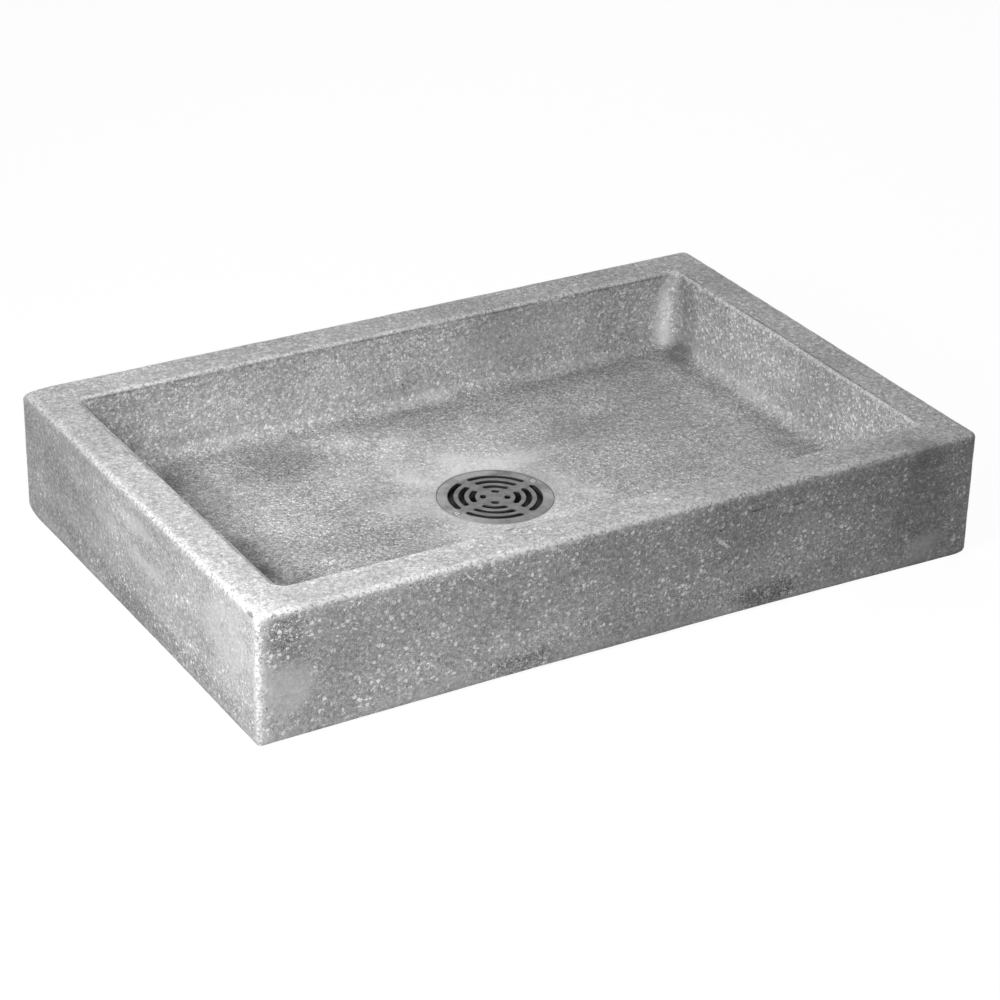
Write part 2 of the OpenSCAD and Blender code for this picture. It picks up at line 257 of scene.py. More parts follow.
# Terrazzo: marble chips as (size, share of the cells that hold one, paste round each, its tones,
# how much of it shows on the worn floor)
CHIPS = [
    (1.5 * MM, 0.75, 0.06, (0.28, 0.56), 1.0),
    (2.9 * MM, 0.50, 0.08, (0.38, 0.70), 0.85),
    (4.6 * MM, 0.20, 0.05, (0.46, 0.76), 0.3),
]
CHIP_BORDER = 0.12  # width of a chip's soft border, against its size
CHIP_RISE = 0.4  # how far the chips stand out of the bare paste
CHIP_RIPPLE = (2.5 * MM, 1.3 * MM)  # size and reach of the waves that make their outlines uneven
AREAS = 60 * MM  # size of the areas that differ in how many chips show, and in sheen
AREA_CHIPS = (0.3, 0.6, 0.75, 1.0)  # noise values, and the share of the chips that show there
AREA_ROUGHNESS = (0.2, 0.8, 0.55, 0.75)  # noise values, and the roughness there
PASTE_SIZE = 14 * MM
PASTE_TONES = (0.27, 0.33)
GRIT = (1.6 * MM, 0.5)  # size and height of the paste's own grit
BALD_JOINTS = 0.6  # how much darker the paste is in bald places
RELIEF = 0.25 * MM
SPECULAR = 0.3

# Layers over the chips, as (tone, how far it hides what is below): ground rim, cement skin, and worn edges
# with a painted highlight
RIM_LAYER = (0.52, 0.4)
SKIN_LAYER = (0.46, 0.8)
WORN_AND_HIGHLIGHT_LAYER = (0.74, 0.8)
SKIN_SIZE = 24 * MM
SKIN_COVER = (0.35, 0.55, 0.6, 1.0)  # noise values, and how much of the skin is left there
# Ragged borders as (size, detail, noise value where they start, noise value where they are full)
EDGE_WEAR_AND_HIGHLIGHT = (3.2 * MM, 3.0, 0.34, 0.6)
EDGE_GAPS = (2.7 * MM, 2.0, 0.44, 0.34)
EDGE_GAP_DARK = 0.55
# Painted shade along the line where the rim meets the walls: its ragged noise, and how dark it is
CREASE_SHADE_NOISE = (90 * MM, 5.0, 0.3, 0.65)
CREASE_SHADE_DARK = 0.5

# Fractal mottling as (size, roughness, strength)
GRAIN = (5 * MM, 0.9, 0.42)
STAINS = (110 * MM, 0.5, 0.13)
RIM_GRAIN = 0.52  # strength of the grain on the rim
SKIN_GRAIN = 0.45  # share of the grain that shows on cement skin

# Holes as (spacing, share of the cells that hold one, their size against the spacing, darkness of the
# painted shade in them)
PORES = (2.2 * MM, 0.38, 0.30, 0.5)
FLOOR_PORES = (3.3 * MM, 0.6, 0.42, 0.4)
PITS = (15 * MM, 0.5, 0.09, 0.8)
SMALL_HOLE = 0.6  # size of the smallest hole against the largest
HOLE_BORDER = 0.4  # share of a hole's radius that is its soft border
PIT_DEPTH = 3.0  # how deep a pit is against a pore

# Single marks as (middle, reach in x, y and z, darkness), in millimetres
SCARS = [
    ((-27, -80, 43), (9, 2.5, 8), 0.6),
    ((158, -305, 127), (22, 8, 1.8), 0.45),
    ((205, -305, 122), (16, 8, 1.5), 0.4),
    ((-455, -288, 148), (5, 8, 3), 0.6),
]
SCAR_BORDER = (0.5, 1.1)  # shares of its reach between which a mark fades out


def mottle(g, size, roughness, strength):
    """Fractal mottling round 1."""
    wave = g.swing(g.noise(size, detail=5.0, roughness=roughness), -1.0, 1.0)
    return g.total(g.product(wave, strength), 1.0)


def ragged(g, mask, size, detail, start, full, place=None):
    """A mask that a noise breaks up."""
    return g.product(mask, g.spread(g.noise(size, detail, place), start, full))


def holes(g, spacing, share, reach):
    """1 in small round holes that lie in that share of the cells."""
    cell = g.cells(spacing)
    chance = g.chances(cell)
    size = g.between(chance["Green"], reach * SMALL_HOLE, reach)
    deep = g.math("SUBTRACT", 1.0, g.math("DIVIDE", cell.outputs["Distance"], size), clamp=True)
    there = g.math("LESS_THAN", chance["Red"], share)
    return g.product(g.spread(deep, 0.0, HOLE_BORDER), there)


def scar(g, middle, reach, place):
    """1 in an uneven mark round a point."""
    away = g.vector("SUBTRACT", place, tuple(value * MM for value in middle))
    away = g.vector("DIVIDE", away, tuple(value * MM for value in reach))
    return g.spread(g.length(away), *SCAR_BORDER, 1.0, 0.0)


def chipped(g, place, areas, bare, floor):
    """Tone of the chips in their paste, the share of paste between them, and their relief."""
    shown = g.spread(areas, *AREA_CHIPS)
    tone = g.swing(g.noise(PASTE_SIZE, detail=4.0), *PASTE_TONES)
    size, height = GRIT
    relief = g.product(g.noise(size, detail=3.0), height)
    joint = 1.0
    for size, share, gap, tones, on_floor in CHIPS:
        cell = g.cells(size, place=place)
        chance = g.chances(cell)
        inside = g.cells(size, "DISTANCE_TO_EDGE", place).outputs["Distance"]
        inside = g.spread(inside, gap, gap + CHIP_BORDER)
        there = g.math("LESS_THAN", chance["Red"], share)
        chip = g.product(inside, there, shown, g.between(floor, 1.0, on_floor))
        tone = g.blend(chip, tone, g.between(chance["Green"], *tones))
        joint = g.product(joint, g.rest(chip))
        relief = g.total(relief, g.product(chip, bare, CHIP_RISE))
    return tone, joint, relief


def terrazzo():
    g = Graph("terrazzo")
    rim, floor, edge = g.mark("rim"), g.mark("floor"), g.mark("edge")
    skin = g.product(g.mark("skin"), g.spread(g.noise(SKIN_SIZE, detail=4.0), *SKIN_COVER))
    bare = g.rest(skin)
    size, reach = CHIP_RIPPLE
    ripple = g.vector("SUBTRACT", g.noise(size, detail=1.0, output="Color"), NOISE_MIDDLE)
    bent = g.vector("ADD", g.place, g.vector("MULTIPLY", ripple, (reach, reach, reach)))
    areas = g.noise(AREAS, detail=3.0)

    tone, joint, relief = chipped(g, bent, areas, bare, floor)
    tone = darken(g, tone, BALD_JOINTS, g.product(joint, g.mark("bald")))
    tone = cover(g, tone, RIM_LAYER, rim)
    tone = cover(g, tone, SKIN_LAYER, skin)
    size, roughness, strength = GRAIN
    strength = g.product(g.blend(rim, strength, RIM_GRAIN), g.between(skin, 1.0, SKIN_GRAIN))
    tone = g.product(tone, mottle(g, size, roughness, strength), mottle(g, *STAINS))
    # Lighter edges: real wear, and a painted highlight where the rounded edges catch the light
    tone = cover(g, tone, WORN_AND_HIGHLIGHT_LAYER, ragged(g, edge, *EDGE_WEAR_AND_HIGHLIGHT))
    tone = darken(g, tone, EDGE_GAP_DARK, ragged(g, edge, *EDGE_GAPS, bent))
    # Painted shade along the line where the rim meets the walls
    tone = darken(g, tone, CREASE_SHADE_DARK, ragged(g, g.mark("crease"), *CREASE_SHADE_NOISE))
    tone = g.product(tone, g.total(g.mark("tone"), 1.0))

    # Pores and pits darkened: painted shade in them
    *kind, dark = PORES
    pores = g.product(holes(g, *kind), bare)
    tone = darken(g, tone, dark, pores)
    *kind, dark = FLOOR_PORES
    tone = darken(g, tone, dark, g.product(holes(g, *kind), bare, floor))
    *kind, dark = PITS
    pits = holes(g, *kind)
    tone = darken(g, tone, dark, pits)
    for middle, reach, dark in SCARS:
        tone = darken(g, tone, dark, scar(g, middle, reach, bent))
    relief = g.math("SUBTRACT", relief, g.total(pores, g.product(pits, PIT_DEPTH)))
    rough = g.spread(areas, *AREA_ROUGHNESS)
    return g.finish(relief, RELIEF, Base_Color=tone, Roughness=rough, Specular_IOR_Level=SPECULAR)


# Steel: its blots, which change tone and roughness, and its scratches
BLOT_SIZE = 9 * MM
BLOT_TONES = (0.88, 1.12)
BLOT_ROUGHNESS = (1.2, 0.85)
SCRATCH_TONES = (0.94, 1.06)
SCRATCH_DEPTH = 0.02 * MM
# Grime and painted shade below a height, which darken the drain's recesses
GRIME_AND_SHADE_TONE = 0.07
GRIME_AND_SHADE_FADE = 2 * MM
GRIME_ROUGHNESS = 0.7
GRIME_METAL = 0.3
PLATE_FACE = 0.4 * MM  # depth of the clean part of the strainer's slots
# Pale film from a radius out that paints a reflection on the plate's border, as a layer with a ragged border
REFLECTION_FILM_LAYER = (0.42, 0.6)
REFLECTION_FILM_START = 60 * MM
REFLECTION_FILM_FADE = 8 * MM
REFLECTION_FILM_BORDER = (28 * MM, 3.0, 0.3, 0.55)
REFLECTION_FILM_METAL = (0.75, 0.45)  # without film and with it
DIM_REFLECTION_SIDE = (0.1, -1.0, 0.0)  # where the strainer's painted reflection is weakest
DIM_REFLECTION_FILM = (25 * MM, 58 * MM, 1.0, 0.15)  # distances that way, and the share of the painted reflection that is left there
# Dirt round the screws
DIRT_DARK = 0.6
DIRT_RAG = 3 * MM  # size and reach of its ragged border
DIRT_BORDER = (4.5 * MM, 8 * MM)


def brushed(name, tone, rough, scratch_size, grime_and_shade=None, reflection_film=None, dirt=()):
    """Worn steel with fine scratches round the drain's axis.

    It takes grime and painted shade up to a height, a pale film of painted reflection from a radius out and
    dirt round some places.
    """
    g = Graph(name)
    flat = g.vector("MULTIPLY", g.place, (1.0, 1.0, 0.0))
    radius = g.length(flat)
    height = g.add("SeparateXYZ", {0: g.place}).outputs["Z"]
    line = g.add("CombineXYZ", {"X": radius, "Y": height, "Z": 0.0}).outputs[0]
    scratch = g.noise(scratch_size, detail=4.0, place=line)
    blot = g.noise(BLOT_SIZE, detail=4.0)
    colour = g.product(tone, g.swing(blot, *BLOT_TONES), g.swing(scratch, *SCRATCH_TONES))
    roughness = g.product(rough, g.swing(blot, *BLOT_ROUGHNESS))
    metallic = 1.0
    # Pale film on the plate's border: painted reflection
    if reflection_film is not None:
        film_reflection = ragged(g, g.spread(radius, reflection_film - REFLECTION_FILM_FADE, reflection_film), *REFLECTION_FILM_BORDER)
        towards = g.add("VectorMath", {0: flat, 1: DIM_REFLECTION_SIDE}, operation="DOT_PRODUCT").outputs["Value"]
        film_reflection = g.product(film_reflection, g.spread(towards, *DIM_REFLECTION_FILM))
        colour = cover(g, colour, REFLECTION_FILM_LAYER, film_reflection)
        metallic = g.between(film_reflection, *REFLECTION_FILM_METAL)
    for place in dirt:
        away = g.length(g.vector("SUBTRACT", flat, (place.x, place.y, 0.0)))
        away = g.total(away, g.product(g.noise(DIRT_RAG, detail=3.0), DIRT_RAG))
        colour = darken(g, colour, DIRT_DARK, g.spread(away, *DIRT_BORDER, 1.0, 0.0))
    # Darker below a height: grime and painted shade in the drain's recesses
    if grime_and_shade is not None:
        clean = g.spread(height, grime_and_shade - GRIME_AND_SHADE_FADE, grime_and_shade)
        colour = g.blend(clean, g.product(colour, GRIME_AND_SHADE_TONE), colour)
        roughness = g.blend(clean, GRIME_ROUGHNESS, roughness)
        metallic = g.between(clean, GRIME_METAL, 1.0)
    return g.finish(scratch, SCRATCH_DEPTH, Base_Color=colour, Roughness=roughness, Metallic=metallic)


# Zinc, rust and rubber: sizes of their patterns, and the tones and roughnesses at both ends of a pattern
ZINC_SPANGLE = 2.5 * MM
ZINC_CLOUD = 6 * MM
ZINC_CLOUD_SHARE = 0.3
ZINC_TONES = (0.42, 0.62)
ZINC_ROUGHNESS = (0.38, 0.55)
ZINC_GRAIN = (1 * MM, 0.03 * MM)  # size and depth
RUST_SIZE = 2 * MM
RUST_TONES = (0.06, 0.16)
RUST_ROUGHNESS = (0.45, 0.75)
RUST_METAL = 0.8
RUST_DEPTH = 0.05 * MM
BLOOM_SIZE = 11 * MM
BLOOM_TONES = (0.35, 0.75, 0.018, 0.045)  # noise values, and the rubber's tones there
BLOOM_ROUGHNESS = (0.5, 0.7)
RUBBER_GRAIN = (0.9 * MM, 0.04 * MM)  # size and depth


def galvanised():
    g = Graph("galvanised_wire")
    spangle = g.chances(g.cells(ZINC_SPANGLE))["Red"]
    cloud = g.product(g.noise(ZINC_CLOUD, detail=3.0), ZINC_CLOUD_SHARE)
    tone = g.between(g.total(g.product(spangle, 1 - ZINC_CLOUD_SHARE), cloud), *ZINC_TONES)
    rough = g.between(spangle, *ZINC_ROUGHNESS)
    size, depth = ZINC_GRAIN
    grain = g.noise(size, detail=3.0)
    return g.finish(grain, depth, Base_Color=tone, Roughness=rough, Metallic=1.0)


def tie_steel():
    g = Graph("tie_wire")
    rust = g.noise(RUST_SIZE, detail=4.0)
    tone = g.swing(rust, *RUST_TONES)
    rough = g.swing(rust, *RUST_ROUGHNESS)
    return g.finish(rust, RUST_DEPTH, Base_Color=tone, Roughness=rough, Metallic=RUST_METAL)


def rubber():
    g = Graph("black_rubber")
    bloom = g.noise(BLOOM_SIZE, detail=4.0)
    tone = g.spread(bloom, *BLOOM_TONES)
    rough = g.swing(bloom, *BLOOM_ROUGHNESS)
    size, depth = RUBBER_GRAIN
    return g.finish(g.noise(size), depth, Base_Color=tone, Roughness=rough)


MATERIALS = {
    "terrazzo": terrazzo(),
    "stainless_plate": brushed(
        "stainless_plate", tone=0.18, rough=0.5, scratch_size=0.35 * MM,
        grime_and_shade=PLATE_HIGH.z - PLATE_FACE, reflection_film=REFLECTION_FILM_START, dirt=SCREW_PLACES,
    ),
    "stainless_sheet": brushed(
        "stainless_sheet", tone=0.42, rough=0.34, scratch_size=0.5 * MM, grime_and_shade=PLATE_LOW.z,
    ),
    "stainless_screw": brushed("stainless_screw", tone=0.55, rough=0.28, scratch_size=0.3 * MM),
    "galvanised_wire": galvanised(),
    "tie_wire": tie_steel(),
    "black_rubber": rubber(),
}

# Change of tone and cement skin of each face of the basin. Skin below zero is a bald place with bare chips
ZONES = {
    "front": (0.03, -0.1),
    "left": (0.02, 0.35),
    "inner": (0.28, 0.14),
    "floor": (0.25, -0.35),
    "rim": (0.06, 0.0),
}
# Soft patches as (middle, reach in x, y and z, change of tone, cement skin), in millimetres. Some of them
# are painted shade, painted shadow or painted highlight, as marked
PATCHES = [
    # Floor
    ((0, 0, 43), (110, 92, 12), 0.14, 1.2),
    ((-240, 0, 46), (170, 200, 14), 0.11, 0.0),
    ((30, 92, 43), (80, 24, 12), 0.05, 0.3),
    ((-70, 180, 46), (50, 26, 14), 0.30, 0.3),
    ((112, 105, 44), (35, 25, 12), -0.20, 0.0),
    ((55, -100, 44), (110, 30, 12), 0.15, 0.0),
    ((0, 118, 44), (170, 50, 14), 0.08, 0.4),
    ((-250, 83, 46), (75, 60, 14), 0.10, 0.2),
    ((-190, 185, 46), (65, 32, 14), -0.18, -0.4),
    ((-205, 90, 46), (45, 60, 14), -0.06, -0.4),
    ((-210, -20, 46), (80, 42, 14), -0.10, -0.4),
    ((203, 112, 46), (65, 25, 14), -0.24, 0.0),
    ((-120, 205, 48), (60, 22, 14), 0.20, 0.3),
    ((-215, -88, 46), (95, 24, 14), -0.16, -0.2),
    # Painted shadow of the left wall on the floor along its foot
    ((-312, 80, 50), (36, 190, 24), -0.34, 0.0),
    ((-324, -18, 50), (20, 60, 24), -0.44, 0.0),
    ((-322, 125, 50), (16, 75, 24), -0.20, 0.0),
    ((-322, 190, 50), (28, 36, 24), -0.24, 0.0),
    ((-330, -75, 48), (40, 70, 24), -0.30, 0.0),
    ((-240, -4, 46), (62, 16, 14), 0.16, 0.0),
    ((385, 110, 49), (18, 120, 9), -0.14, 0.0),
    ((376, -70, 50), (36, 75, 16), -0.22, 0.0),
    # Rim
    # Left rim lighter: painted highlight, under a little cement skin
    ((-432, 0, 152), (26, 300, 8), 0.06, 0.25),
    ((-422, -232, 152), (18, 38, 8), -0.17, 0.0),
    ((-350, -280, 152), (70, 26, 8), -0.24, 0.3),
    ((60, -280, 152), (330, 26, 8), -0.05, 0.0),
    ((-340, 281, 152), (90, 26, 8), 0.18, 0.0),
    # Back wall and its cove
    ((0, 253, 105), (400, 12, 36), 0.08, 0.0),
    ((-372, 253, 95), (36, 14, 50), -0.30, 0.0),
    ((-215, 253, 130), (36, 12, 26), -0.12, 0.0),
    ((-300, 240, 62), (50, 22, 24), -0.12, 0.0),
    # Light line along the back cove: cement skin and painted highlight, with one darker break
    ((-200, 243, 60), (150, 9, 10), 0.08, 0.4),
    ((8, 243, 60), (66, 9, 12), 0.32, 0.7),
    ((70, 248, 68), (26, 10, 12), -0.14, 0.3),
    ((240, 243, 60), (110, 8, 9), 0.08, 0.5),
    ((180, 253, 113), (100, 12, 33), -0.20, 0.4),
    # Right wall and the corner behind it
    ((398, 70, 62), (9, 150, 10), 0.03, 0.5),
    # Painted highlight down the back right corner's rounding, on cement skin
    ((390, 250, 100), (9, 10, 36), 0.22, 0.9),
    ((386, 251, 70), (11, 9, 24), 0.22, 0.7),
    ((396, 252, 141), (12, 7, 7), -0.30, 0.8),
    # Painted shade beside it, where the rounding turns away from the light
    ((404, 233, 105), (8, 12, 58), -0.36, 0.2),
    ((406, 212, 108), (9, 14, 52), -0.44, 0.2),
    # Painted shadow at the foot of that corner
    ((401, 218, 52), (18, 26, 11), -0.55, 0.3),
    # Left face
    ((-457, 215, 88), (20, 48, 36), -0.22, 0.0),
    ((-457, 112, 88), (20, 45, 18), -0.16, 0.0),
    ((-457, 70, 120), (20, 150, 14), 0.12, 0.0),
    ((-457, 217, 28), (20, 44, 16), -0.24, 0.0),
    ((-457, 66, 92), (20, 52, 8), 0.16, 0.6),
    ((-457, -24, 83), (20, 40, 10), 0.26, 0.6),
    ((-457, -8, 122), (20, 48, 8), 0.18, 0.5),
    ((-457, -60, 18), (20, 260, 16), -0.07, -0.8),
    ((-457, -60, 128), (20, 60, 12), -0.10, 0.0),
    ((-457, -150, 60), (20, 60, 18), -0.16, 0.0),
    ((-457, -235, 98), (20, 60, 32), 0.04, 0.5),
    ((-457, 0, 4), (20, 290, 14), -0.10, 0.2),
    ((-457, 160, 12), (20, 90, 14), 0.12, 0.4),
    # Front left corner
    ((-449, -300, 75), (10, 10, 75), 0.12, 0.5),
    ((-428, -305, 122), (24, 14, 26), 0.08, -0.9),
    ((-422, -305, 62), (26, 20, 28), 0.08, 0.95),
    # Front face
    ((-380, -305, 108), (62, 20, 36), -0.14, 0.0),
    ((-250, -305, 80), (190, 20, 80), 0.0, 0.24),
    ((0, -305, 4), (430, 20, 12), -0.04, 0.6),
    ((-143, -305, 12), (42, 12, 12), -0.10, -1.2),
    ((180, -305, 14), (46, 12, 13), -0.14, -1.2),
    ((389, -305, 26), (22, 20, 14), 0.16, 0.8),
    ((384, -305, 84), (40, 20, 66), -0.36, 0.2),
    ((245, -305, 118), (45, 20, 24), -0.10, 0.0),
    ((330, -305, 140), (130, 20, 14), -0.12, 0.0),
    ((-130, -305, 30), (80, 20, 25), 0.22, 0.0),
    ((90, -305, 100), (60, 20, 40), -0.14, 0.0),
    ((210, -305, 60), (50, 20, 30), 0.20, 0.0),
]
PATCH_BORDER = (1.5, 0.5)  # shares of its reach between which a patch starts and is full
PATCH_WAVE = 45 * MM  # size of the waves that make its border uneven
PATCH_SWING = 0.55  # how far they move it, against the patch's reach
BASE_SHADE = 0.55  # painted shade: how much darker the edge round the underside is

# Borders of what the terrazzo knows of a point, as (distance where it starts, distance where it is full)
RIM_BORDER = (5 * MM, 1 * MM)  # below the top
FLOOR_BORDER = (12 * MM, 2 * MM)  # over the floor's foot
WALL_BORDER = 1 * MM  # to both sides of the rim's inner edge
EDGE_BORDER = (12 * MM, 2 * MM)  # from an edge
CREASE_BORDER = (2.1 * MM, 0.7 * MM)  # from the line where the rim meets a wall
BASE_BORDER = (2.25 * MM, 0.75 * MM)  # from the edge round the underside
# Factors on the distance from the rim's outer and inner edge: the larger, the narrower the band of wear and
# painted highlight
OUTER_WEAR_AND_HIGHLIGHT = 1.2
INNER_WEAR_AND_HIGHLIGHT = 3.2
INNER_WEAR_AND_HIGHLIGHT_INSET = 1.5 * MM  # the worn and highlighted line of the inner edge lies this far out from the wall and down
CREASE_ENDS = 1.2 * RIM_WIDTH  # no crease so near the front face, and another one so near the back face
BACK_CREASE_DROP = 5.5 * MM  # that one lies on the wall, this far below the top

# Steps of the basin's mesh: round each corner, along its sides and over each rounded edge
CORNER_STEPS = 10
LONG_STEPS = 150
SHORT_STEPS = 100
ARC_STEPS = 8
# Rings from the hole in the underside up the outer faces, over the rim and down to the hole again
UNDERSIDE_RINGS = 14
OUTER_RINGS = 28
RIM_RINGS = 9
ARRIS_RINGS = 4
BELOW_ARRIS_RINGS = 5
WALL_RINGS = 15
FLOOR_RINGS = 40
SEAT_RINGS = 2
HOLE_RINGS = 4
ARRIS = 6 * MM  # width of the fine rings on both sides of the rim's inner edge
SHARP_ANGLE = math.radians(35)


def rounded_rectangle(half, radius, z):
    """Ring of points, anticlockwise from the back right corner, with one radius or one for each corner."""
    radii = np.broadcast_to(radius, 4)
    turn = np.linspace(0, math.pi / 2, CORNER_STEPS + 1)
    arcs = []
    for quarter, side in enumerate([(1, 1), (-1, 1), (-1, -1), (1, -1)]):
        angle = turn + quarter * math.pi / 2
        middle = np.array(side) * (np.array(half) - radii[quarter])
        arcs.append(middle + radii[quarter] * np.stack([np.cos(angle), np.sin(angle)], 1))
    ring = []
    for quarter, arc in enumerate(arcs):
        steps = (LONG_STEPS, SHORT_STEPS)[quarter % 2]
        share = np.linspace(0, 1, steps + 1)[1:-1, None]
        following = arcs[(quarter + 1) % 4][0]
        ring += [arc, arc[-1] * (1 - share) + following * share]
    ring = np.concatenate(ring)
    return np.column_stack([ring, np.full(len(ring), z)])


def circle_towards(ring, radius, z):
    """Circle whose points lie in the same directions from the middle as the ring's."""
    angle = np.arctan2(ring[:, 1], ring[:, 0])
    return np.column_stack([radius * np.cos(angle), radius * np.sin(angle), np.full(len(ring), z)])


def run_to(rings, ring, steps):
    """Adds rings in even steps from the last one to this one."""
    last = rings[-1]
    rings += [last + (ring - last) * step / steps for step in range(1, steps + 1)]


def round_edge(radius):
    """(along, across) over a quarter turn from one face to the next, after its first point."""
    turns = [math.radians(90 * step / ARC_STEPS) for step in range(1, ARC_STEPS + 1)]
    return [(radius * (1 - math.cos(turn)), radius * (1 - math.sin(turn))) for turn in turns]


def basin_rings():
    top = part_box("basin")[1].z
    half = np.array(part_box("basin")[1].xy)
    inner = half - RIM_WIDTH
    lip, _, drain_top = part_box("drain_sleeve")[1]
    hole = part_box("pipe_gasket")[1].x - GASKET_SQUEEZE + SHEET
    flange = PLATE_LOW.z - SHEET

    def outer_ring(inset, z):
        return rounded_rectangle(half - inset, np.maximum(OUTER_CORNERS - inset, SMALLEST_CORNER), z)

    def inner_ring(outset, z, corner=INNER_CORNER):
        return rounded_rectangle(inner + outset, corner + outset, z)

    base = outer_ring(OUTER_DRAFT + BASE_EDGE, 0.0)
    rings = [circle_towards(base, hole, 0.0)]
    run_to(rings, base, UNDERSIDE_RINGS)
    rings += [outer_ring(OUTER_DRAFT + inset, rise) for rise, inset in round_edge(BASE_EDGE)]
    run_to(rings, outer_ring(0, top - RIM_OUTER), OUTER_RINGS)
    rings += [outer_ring(inset, top - drop) for inset, drop in round_edge(RIM_OUTER)]
    run_to(rings, inner_ring(RIM_INNER + ARRIS, top, RIM_CORNER), RIM_RINGS)
    run_to(rings, inner_ring(RIM_INNER, top, RIM_CORNER), ARRIS_RINGS)
    rings += [inner_ring(outset, top - drop, RIM_CORNER) for drop, outset in round_edge(RIM_INNER)]
    run_to(rings, inner_ring(0, top - RIM_INNER - ARRIS, WALL_CORNER), BELOW_ARRIS_RINGS)
    run_to(rings, inner_ring(-INNER_DRAFT, FLOOR_FOOT + COVE), WALL_RINGS)
    rings += [inner_ring(-INNER_DRAFT - inset, FLOOR_FOOT + rise) for inset, rise in round_edge(COVE)]
    foot = rings[-1]
    run_to(rings, circle_towards(foot, lip + DRAIN_FLAT, drain_top), FLOOR_RINGS)
    run_to(rings, circle_towards(foot, lip, drain_top), SEAT_RINGS)
    run_to(rings, circle_towards(foot, lip, flange), SEAT_RINGS)
    run_to(rings, circle_towards(foot, hole, flange), SEAT_RINGS)
    run_to(rings, circle_towards(foot, hole, 0.0), HOLE_RINGS)
    return np.array(rings[:-1])


def ramp(value, start, full):
    """Smooth step from 0 at the start to 1 where it is full."""
    share = np.clip((value - start) / (full - start), 0, 1)
    return share * share * (3 - 2 * share)


def edge_distance(points):
    """Distance from the basin's nearest edge, lengthened where the band of wear and painted highlight along
    it is narrower.
    """
    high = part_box("basin")[1]
    from_end, from_side = high.x - np.abs(points[:, 0]), high.y - np.abs(points[:, 1])
    inset = np.minimum(from_end, from_side)
    drop = high.z - points[:, 2]
    return np.minimum.reduce([
        OUTER_WEAR_AND_HIGHLIGHT * np.hypot(inset, drop),
        INNER_WEAR_AND_HIGHLIGHT * np.hypot(inset - RIM_WIDTH + INNER_WEAR_AND_HIGHLIGHT_INSET, drop - INNER_WEAR_AND_HIGHLIGHT_INSET),
        np.hypot(from_end, from_side),
    ])


def crease_distance(points):
    """Distance from the line where the rim meets the inner walls, which the front doesn't have."""
    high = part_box("basin")[1]
    x, y, z = points.T
    inset = np.minimum(high.x - np.abs(x), high.y - np.abs(y)) - RIM_WIDTH
    drop = high.z - z
    behind = y > high.y - CREASE_ENDS
    away = np.where(behind, np.hypot(inset, drop - BACK_CREASE_DROP), np.hypot(inset + RIM_INNER, drop))
    away[y < CREASE_ENDS - high.y] = RIM_WIDTH
    return away


def basin_marks(points):
    """What the terrazzo and the unevenness need to know at each point, from 0 to 1."""
    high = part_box("basin")[1]
    x, y, z = points.T
    inset = np.minimum(high.x - np.abs(x), high.y - np.abs(y))
    inside = ramp(inset, RIM_WIDTH - WALL_BORDER, RIM_WIDTH + WALL_BORDER)
    rim = ramp(high.z - z, *RIM_BORDER)
    floor = inside * ramp(z - FLOOR_FOOT, *FLOOR_BORDER)
    outside = (1 - inside) * (1 - rim)
    faces = {
        "floor": floor,
        "inner": inside - floor,
        "rim": rim * (1 - inside),
        "front": outside * ramp(-y, high.y - RIM_WIDTH, high.y),
        "left": outside * ramp(-x, high.x - RIM_WIDTH, high.x),
    }
    tone = sum(ZONES[name][0] * share for name, share in faces.items())
    skin = sum(ZONES[name][1] * share for name, share in faces.items())
    # Painted shade along the edge round the underside
    tone -= BASE_SHADE * ramp(np.hypot(inset, z), *BASE_BORDER)
    wave = np.array([noise.noise(Vector(point) / PATCH_WAVE) for point in points])
    for middle, reach, change, skin_change in PATCHES:
        away = np.linalg.norm((points / MM - middle) / reach, axis=1)
        near = ramp(away - PATCH_SWING * wave, *PATCH_BORDER)
        tone += change * near
        skin += skin_change * near
    drain_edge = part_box("drain_sleeve")[1].x + DRAIN_FLAT
    return {
        "rim": rim,
        "floor": floor,
        "edge": ramp(edge_distance(points), *EDGE_BORDER),
        "crease": ramp(crease_distance(points), *CREASE_BORDER),
        "free": ramp(np.hypot(x, y), drain_edge, drain_edge + DRAIN_CALM),
        "tone": tone,
        "skin": np.clip(skin, 0, 1),
        "bald": np.clip(-skin, 0, 1),
    }


def roughen(points, normals, marks):
    """Sinks the points by the unevenness of hand work."""
    sunk = np.zeros(len(points))
    for number, (size, depth, where) in enumerate(WAVES, 1):
        shift = Vector(WAVE_SHIFT) * number
        wave = np.array([noise.noise(Vector(point) / size + shift) for point in points])
        share = marks["edge"] if where == "edge" else 1.0
        sunk += depth * share * np.clip(0.5 + wave, 0, 1)
    points -= normals * (sunk * marks["free"])[:, None]


def soften_corners(points):
    """Rounds the feet of the soft corners, and wears the top of one corner down."""
    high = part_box("basin")[1]
    half = np.array(high.xy)
    for corner, (rise, reach) in SOFT_FEET.items():
        away = np.linalg.norm(points[:, :2] - half * corner, axis=1)
        near = np.clip(1 + SOFT_FOOT_FLAT - away / reach, 0, 1)
        lift = rise * (1 - np.sqrt(1 - near**2))
        points[:, 2] += lift * np.clip(1 - points[:, 2] / SOFT_FOOT_HEIGHT, 0, 1)
    corner, depth, reach = WORN_TOP
    away = np.linalg.norm(points[:, :2] - half * corner, axis=1)
    fade = ramp(high.z - points[:, 2], reach, 0)
    points[:, 2] -= depth * np.clip(1 - away / reach, 0, 1) ** 2 * fade


